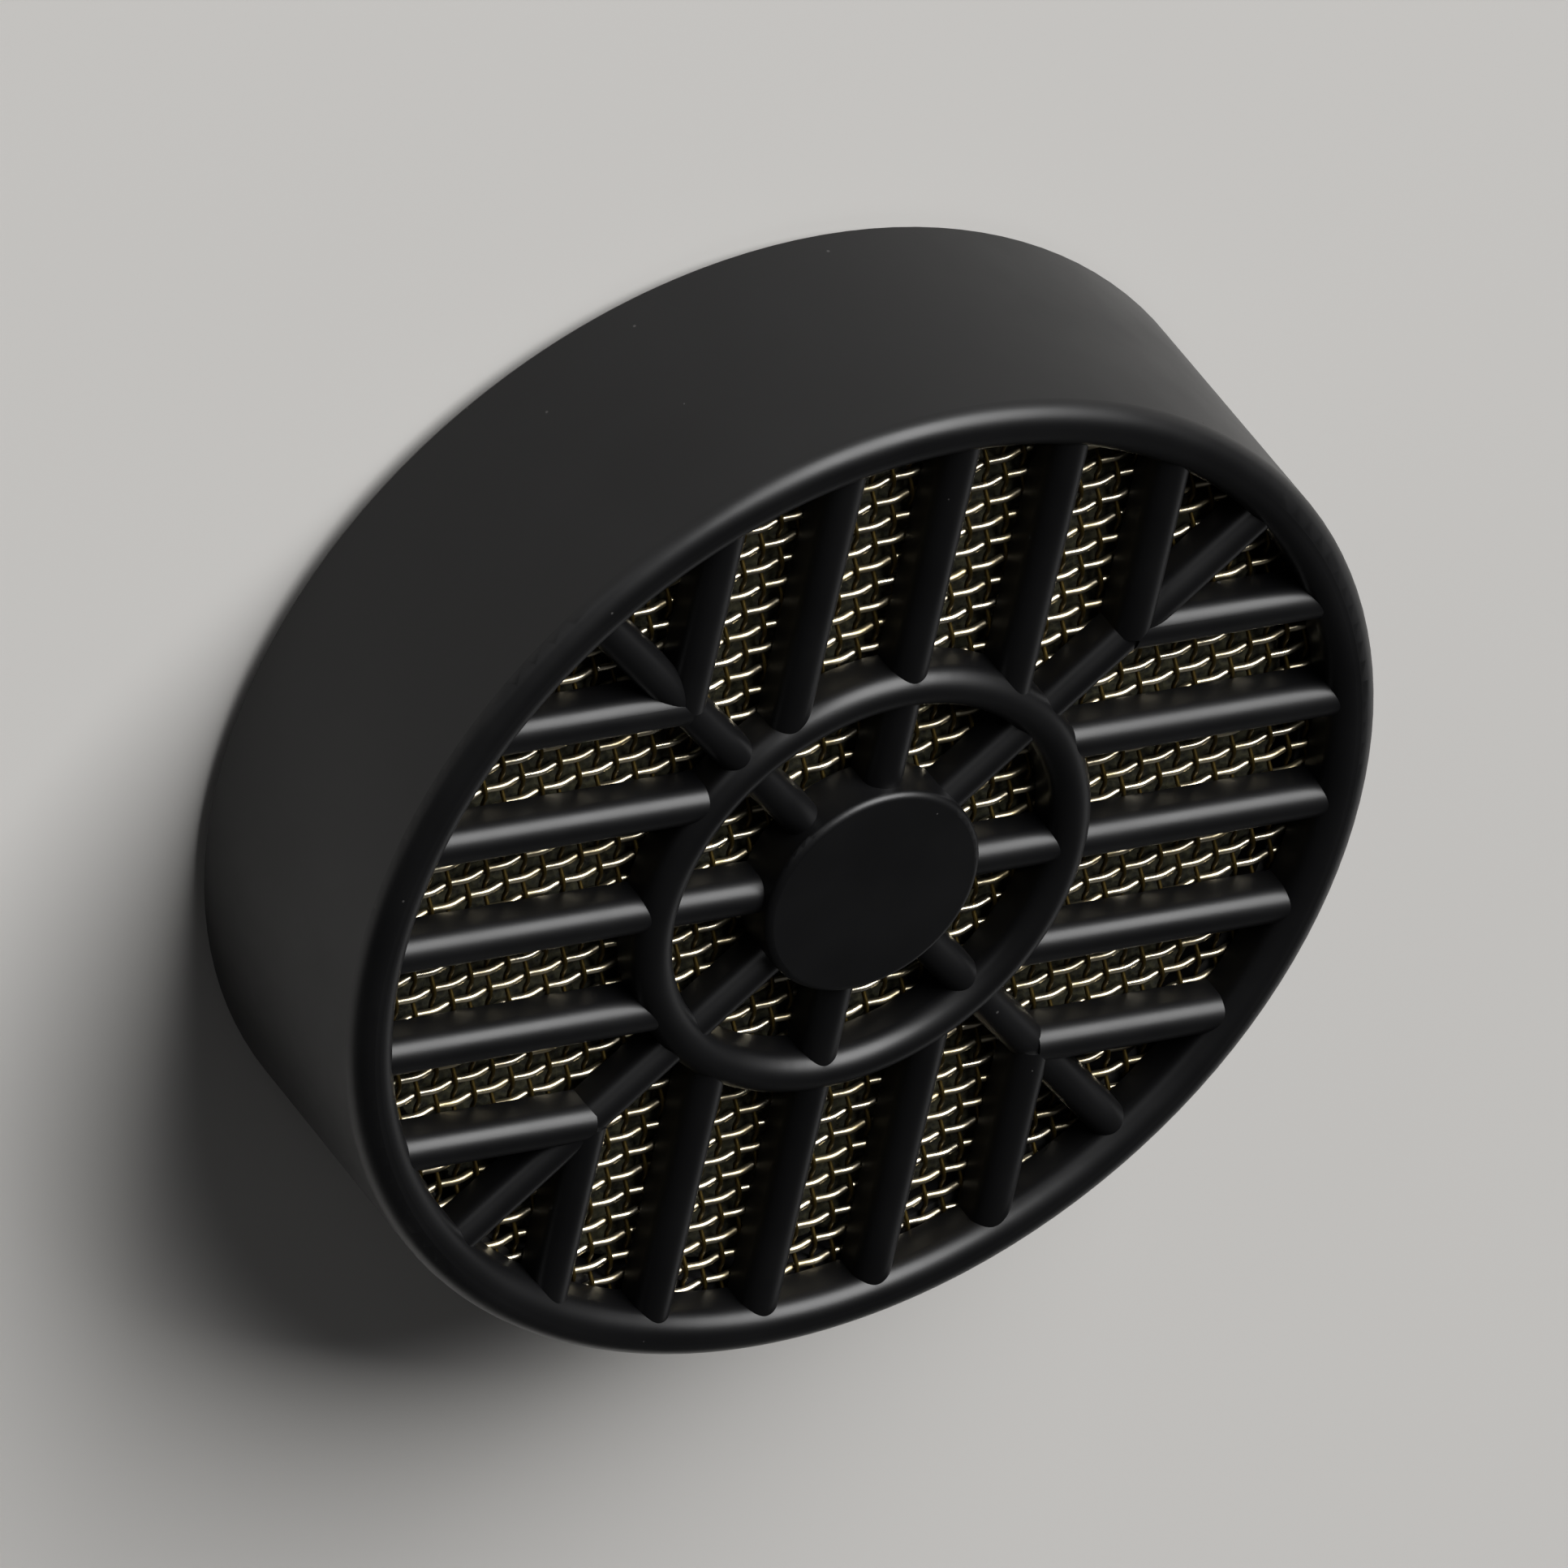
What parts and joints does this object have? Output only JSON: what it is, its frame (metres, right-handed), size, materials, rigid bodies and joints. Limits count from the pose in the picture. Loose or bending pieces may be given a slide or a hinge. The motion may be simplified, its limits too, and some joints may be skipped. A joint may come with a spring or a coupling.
{
  "type": "humidor humidifier",
  "caption": "Round black vented puck that holds damp foam behind a ribbed grille and a wire screen, and clings by magnets to a stick-on steel disc inside a humidor lid.",
  "frame": {"origin": "centre of the adhesive face that is stuck to the lid", "axes": "+Z out of the grille along the puck's axis; +X and +Y along two of the grille's spokes, +Y towards the lid's front edge in the picture"},
  "size_m": [0.074, 0.074, 0.0219],
  "materials": {
    "case_plastic": "satin",
    "cover_plastic": "matte",
    "screen_wire": "satin",
    "foam": "matte",
    "magnet_nickel": "satin",
    "keeper_steel": "satin",
    "tape": "matte"
  },
  "bodies": {
    "keeper": {"adhesive_pad": "tape", "keeper_plate": "keeper_steel"},
    "cover": {"back_cover": "cover_plastic", "magnet_1": "magnet_nickel", "magnet_2": "magnet_nickel", "magnet_3": "magnet_nickel", "foam_pad": "foam"},
    "case": {"grille_case": "case_plastic", "mesh_screen": "screen_wire", "screen_ring": "cover_plastic"}
  },
  "joints": [
    {"name": "pull_off", "type": "slide", "parent": "keeper", "child": "cover", "axis": [0, 0, 1], "range_m": [0, 0.04]},
    {"name": "case_lift", "type": "slide", "parent": "cover", "child": "case", "axis": [0, 0, 1], "range_m": [0, 0.03]}
  ]
}
